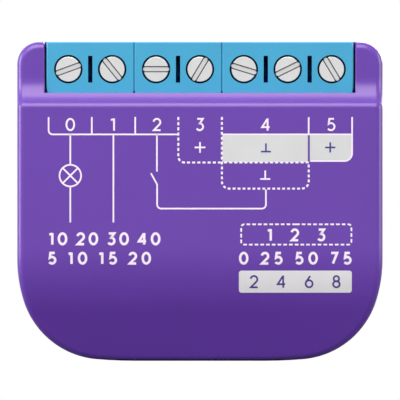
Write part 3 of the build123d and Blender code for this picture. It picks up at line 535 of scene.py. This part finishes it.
# Numerals drawn with one pen, on a height of 1: the width, then the strokes
NUMERALS = {
    "0": (0.68, [arc(0.34, 0.5, 0.5, 0, 360, 28, 0.68)]),
    "1": (0.3, [[(0.24, 1.04), (0.24, -0.04)], [(-0.04, 0.9), (0.24, 0.97)]]),
    "2": (0.6, [arc(0.3, 0.7, 0.3, 170, -38, 14) + [(0.03, 0.0), (0.62, 0.0)]]),
    "3": (
        0.58,
        [[(0.04, 1.0), (0.54, 1.0), (0.27, 0.6)] + arc(0.26, 0.3, 0.3, 80, -150, 16)],
    ),
    "4": (
        0.66,
        [[(0.45, 0.98), (0.0, 0.27), (0.66, 0.27)], [(0.48, 1.04), (0.48, -0.04)]],
    ),
    "5": (
        0.6,
        [[(0.54, 1.0), (0.14, 1.0), (0.08, 0.55)] + arc(0.28, 0.31, 0.31, 115, -145, 16)],
    ),
    "6": (0.62, [arc(0.31, 0.31, 0.31, 0, 360, 24), [(0.045, 0.46), (0.4, 1.0)]]),
    "7": (0.56, [[(0.0, 1.0), (0.56, 1.0), (0.16, 0.0)]]),
    "8": (0.6, [arc(0.3, 0.76, 0.24, 0, 360, 20), arc(0.3, 0.27, 0.27, 0, 360, 22, 1.08)]),
}
CLOSED = {"0": (0,), "6": (0,), "8": (0, 1)}

# A space between groups is this many gaps between numerals wide
GROUP_GAP = 2.6


def numerals(ink, text, left, right, top, bottom, pen):
    """Writes numbers between two pixel columns and rows, with a pen in millimetres."""
    x_left, z_top = spot(left, top)
    x_right, z_bottom = spot(right, bottom)
    size = z_top - z_bottom - pen
    shown = [c for c in text if c != " "]
    widths = [NUMERALS[c][0] * size + pen for c in shown]
    slack = (x_right - x_left) - sum(widths)
    gaps = [
        GROUP_GAP if before == " " else 1
        for before, c in zip(text, text[1:])
        if c != " "
    ]
    unit = slack / sum(gaps) if gaps else 0
    x = x_left if gaps else x_left + slack / 2
    for c, width, gap in zip(shown, widths, [*gaps, 0]):
        for n, stroke in enumerate(NUMERALS[c][1]):
            closed = n in CLOSED.get(c, ())
            points = stroke[:-1] if closed else stroke
            path = [
                (x + pen / 2 + u * size, z_bottom + pen / 2 + v * size) for u, v in points
            ]
            ink.ribbon(path, pen, closed)
        x += width
        x += unit * gap


def plus(ink, x, y, reach):
    """A plus sign, its middle and its reach in pixels."""
    ink.ribbon([spot(x - reach, y), spot(x + reach, y)], LINE)
    ink.ribbon([spot(x, y - reach), spot(x, y + reach)], LINE)


def upright(ink, x, y, reach, rise):
    """An upright on the middle of a bar, in pixels."""
    ink.ribbon([spot(x - reach, y), spot(x + reach, y)], LINE)
    ink.ribbon([spot(x, y - rise), spot(x, y)], LINE)


# The pens, and the dashes and gaps of the two dotted lines, in millimetres
LINE, LABEL_PEN, ROW_PEN, BOX_PEN, PLATE_PEN = 0.19, 0.215, 0.29, 0.27, 0.2
FRAME_DOTS, BOX_DOTS = (0.23, 0.34, 0.24), (0.2, 0.43, 0.24)

# Columns and rows of the print, in pixels of the photograph: the poles' columns, then the
# ends of the ticks, the rail that they stand on, the labels between them and the leads' end
POLE_0, POLE_1, POLE_2, POLE_3, POLE_4, POLE_5 = 70.3, 113.4, 156.9, 200.0, 265.9, 331.2
TICK_Y, RAIL_Y, LABEL_TOP, LABEL_BOTTOM, LEAD_Y = 117, 134.4, 117.9, 131.1, 222.4
LABEL_REACH = 7
LAMP_Y, LAMP_R = 175.6, 10.8
SIGN_Y = 147.4
ROW_1, ROW_2 = (232.2, 245.4), (251.7, 264.7)
ROW_BOX, ROW_PLATE = (228.4, 241.4), (275.1, 288.1)

lines = Ink("print_scheme", white_ink, "housing_purple", LINE_PROUD)
for corners, radii in (
    # the first rail with its ticks
    ([(48.6, TICK_Y), (48.6, RAIL_Y), (178.6, RAIL_Y)], [4]),
    ([(91.8, TICK_Y), (91.8, RAIL_Y)], []),
    ([(135.2, TICK_Y), (135.2, RAIL_Y)], []),
    # the lamp's leads, the plain lead, and the switch with its lead to the right
    ([(POLE_0, RAIL_Y), (POLE_0, 164.4)], []),
    ([(POLE_0, 186.8), (POLE_0, LEAD_Y)], []),
    ([(POLE_1, RAIL_Y), (POLE_1, LEAD_Y)], []),
    ([(POLE_2, RAIL_Y), (POLE_2, 171.6)], []),
    (
        [(150.9, 173.2), (157.1, 184.4), (157.1, 208.6), (POLE_4, 208.6), (POLE_4, 189.6)],
        [0, 4, 4],
    ),
    # the second rail with its tick and the frame of the last plate
    ([(222.6, RAIL_Y), (352.8, RAIL_Y)], []),
    ([(308.7, TICK_Y), (308.7, RAIL_Y)], []),
    ([(352.1, TICK_Y), (352.1, 161.0), (310.6, 161.0)], [7.6]),
):
    lines.ribbon(rounded(corners, radii), LINE)
lamp_x, lamp_z = spot(POLE_0, LAMP_Y)
lamp_r = LAMP_R / PX_PER_MM
lines.ribbon(arc(lamp_x, lamp_z, lamp_r, 0, 360, 36)[:-1], LINE, closed=True)
for angle in (math.radians(45), math.radians(135)):
    dx, dz = lamp_r * math.cos(angle), lamp_r * math.sin(angle)
    lines.ribbon([(lamp_x - dx, lamp_z - dz), (lamp_x + dx, lamp_z + dz)], LINE)
plus(lines, POLE_3, SIGN_Y, 5.4)
upright(lines, 265.2, 179.0, 5.1, 8.6)

dots = Ink("print_dots", white_ink, "housing_purple", DOT_PROUD)
for corners, radii, pattern in (
    ([(178.3, TICK_Y), (178.3, 162.5), (221.0, 162.5)], [6], FRAME_DOTS),
    ([(221.9, TICK_Y), (221.9, 188.6), (308.7, 188.6), (308.7, 164.6)], [7, 7], FRAME_DOTS),
    ([(224.0, 162.4), (308.7, 162.4)], [], FRAME_DOTS),
    (
        [(296, 224.3), (351.4, 224.3), (351.4, 244.6), (241.2, 244.6), (241.2, 224.3),
         (296, 224.3)],
        [3, 3, 3, 3],
        BOX_DOTS,
    ),
):
    dotted(dots, rounded(corners, radii), *pattern)

marks = Ink("print_numbers", white_ink, "housing_purple", NUMBER_PROUD)
for text, centre in (
    ("0", POLE_0), ("1", 113.0), ("2", POLE_2), ("3", POLE_3), ("4", POLE_4), ("5", POLE_5),
):
    left, right = centre - LABEL_REACH, centre + LABEL_REACH
    numerals(marks, text, left, right, LABEL_TOP, LABEL_BOTTOM, LABEL_PEN)
for text, left, right, rows, pen in (
    ("10 20 30 40", 48.5, 160.5, ROW_1, ROW_PEN),
    ("5 10 15 20", 47.8, 151.1, ROW_2, ROW_PEN),
    ("1 2 3", 267.0, 325.6, ROW_BOX, BOX_PEN),
    ("0 25 50 75", 238.9, 351.8, ROW_2, ROW_PEN),
):
    numerals(marks, text, left, right, *rows, pen)

plates = Ink("print_plates", grey_ink, "housing_purple", PLATE_PROUD)
plates.plate(plate_outline(222.4, 307.8, 133.6, 162.2, (0, 0, 0, 0)), rows=1)
plates.plate(plate_outline(309.9, 352.8, 133.6, 161.7, (0, 0, 7.8, 0)), rows=1)
low_plate = Ink("print_low_plate", pale_ink, "housing_purple", PLATE_PROUD)
low_plate.plate(plate_outline(238.9, 351.8, 270.6, 292.7, (2.5, 2.5, 2.5, 2.5)), rows=16)

dark = Ink("print_dark", indigo_ink, "housing_purple", DARK_PROUD)
upright(dark, POLE_4, 151.6, 5.0, 8.2)
plus(dark, 330.2, SIGN_Y, 5.1)
numerals(dark, "2 4 6 8", 249.7, 340.6, *ROW_PLATE, PLATE_PEN)

for ink in (lines, dots, marks, plates, low_plate, dark):
    ink.make()


# Floor, light and camera
def background_rays(tree):
    """One for the rays that show the background, zero for those that only throw light."""
    path = add(tree, "ShaderNodeLightPath")
    seen = add(tree, "ShaderNodeMath", operation="MAXIMUM")
    also = add(tree, "ShaderNodeMath", operation="MAXIMUM")
    tree.links.new(path.outputs["Is Camera Ray"], seen.inputs[0])
    tree.links.new(path.outputs["Is Glossy Ray"], seen.inputs[1])
    tree.links.new(seen.outputs[0], also.inputs[0])
    tree.links.new(path.outputs["Is Transmission Ray"], also.inputs[1])
    return also.outputs[0]


FLOOR_SIZE, FLOOR_PLACE = 1.2, (0, 0.1, -0.00002)
FLOOR_SEEN, FLOOR_DULL = (0.5, 0.5, 0.5, 1), (0.19, 0.19, 0.195, 1)
WHITE, SEEN_STRENGTH, LIGHT_STRENGTH = (1, 1, 1, 1), 1.0, 0.2


def floor_material():
    """Pale where it is seen, duller where it only throws light back."""
    material, tree, shader = new_material("pale_floor")
    shader.inputs["Base Color"].default_value = FLOOR_SEEN
    shader.inputs["Roughness"].default_value = 0.7
    dull = add(tree, "ShaderNodeBsdfDiffuse", Color=FLOOR_DULL)
    mix = add(tree, "ShaderNodeMixShader")
    tree.links.new(background_rays(tree), mix.inputs[0])
    tree.links.new(dull.outputs[0], mix.inputs[1])
    tree.links.new(shader.outputs[0], mix.inputs[2])
    tree.links.new(mix.outputs[0], tree.nodes["Material Output"].inputs[0])
    return material


bpy.ops.mesh.primitive_plane_add(size=FLOOR_SIZE, location=FLOOR_PLACE)
floor = bpy.context.object
floor.name = "floor"
floor.data.materials.append(floor_material())

world = bpy.data.worlds.new("studio")
bpy.context.scene.world = world
world.use_nodes = True
tree = world.node_tree
lighting = tree.nodes["Background"]
lighting.inputs["Color"].default_value = WHITE
lighting.inputs["Strength"].default_value = LIGHT_STRENGTH
seen = add(tree, "ShaderNodeBackground", Color=WHITE, Strength=SEEN_STRENGTH)
mix = add(tree, "ShaderNodeMixShader")
tree.links.new(background_rays(tree), mix.inputs[0])
tree.links.new(lighting.outputs[0], mix.inputs[1])
tree.links.new(seen.outputs[0], mix.inputs[2])
tree.links.new(mix.outputs[0], tree.nodes["World Output"].inputs[0])


# The softboxes look at the middle of the object
AIM = Vector((0, 0, 0.018))


def softbox(name, place, width, height, power):
    """A rectangular lamp, in metres and watts."""
    light = bpy.data.lights.new(name, "AREA")
    light.shape, light.size, light.size_y, light.energy = "RECTANGLE", width, height, power
    lamp = bpy.data.objects.new(name, light)
    bpy.context.scene.collection.objects.link(lamp)
    lamp.location = place
    lamp.rotation_euler = (AIM - Vector(place)).to_track_quat("-Z", "Y").to_euler()


softbox("top_front", (-0.09, -0.285, 0.395), 0.44, 0.42, 2.8)
softbox("left_box", (-0.42, -0.08, 0.10), 0.24, 0.30, 1.6)
softbox("right_box", (0.42, -0.08, 0.10), 0.24, 0.30, 1.0)
softbox("back_box", (0.16, 0.46, 0.20), 0.34, 0.30, 2.2)

# The camera sees the front as the photograph does, pixel for pixel
CAMERA_Y = -0.5
camera_data = bpy.data.cameras.new("camera")
camera_data.type = "ORTHO"
camera_data.ortho_scale = PHOTO_PX / PX_PER_MM * MM
camera_data.clip_start, camera_data.clip_end = 0.01, 5
camera = bpy.data.objects.new("camera", camera_data)
bpy.context.scene.collection.objects.link(camera)
view_x, view_z = spot(PHOTO_PX / 2, PHOTO_PX / 2)
camera.location = (view_x * MM, CAMERA_Y, view_z * MM)
camera.rotation_euler = (math.radians(90), 0, 0)
bpy.context.scene.camera = camera

bpy.context.scene.view_settings.view_transform = "Standard"
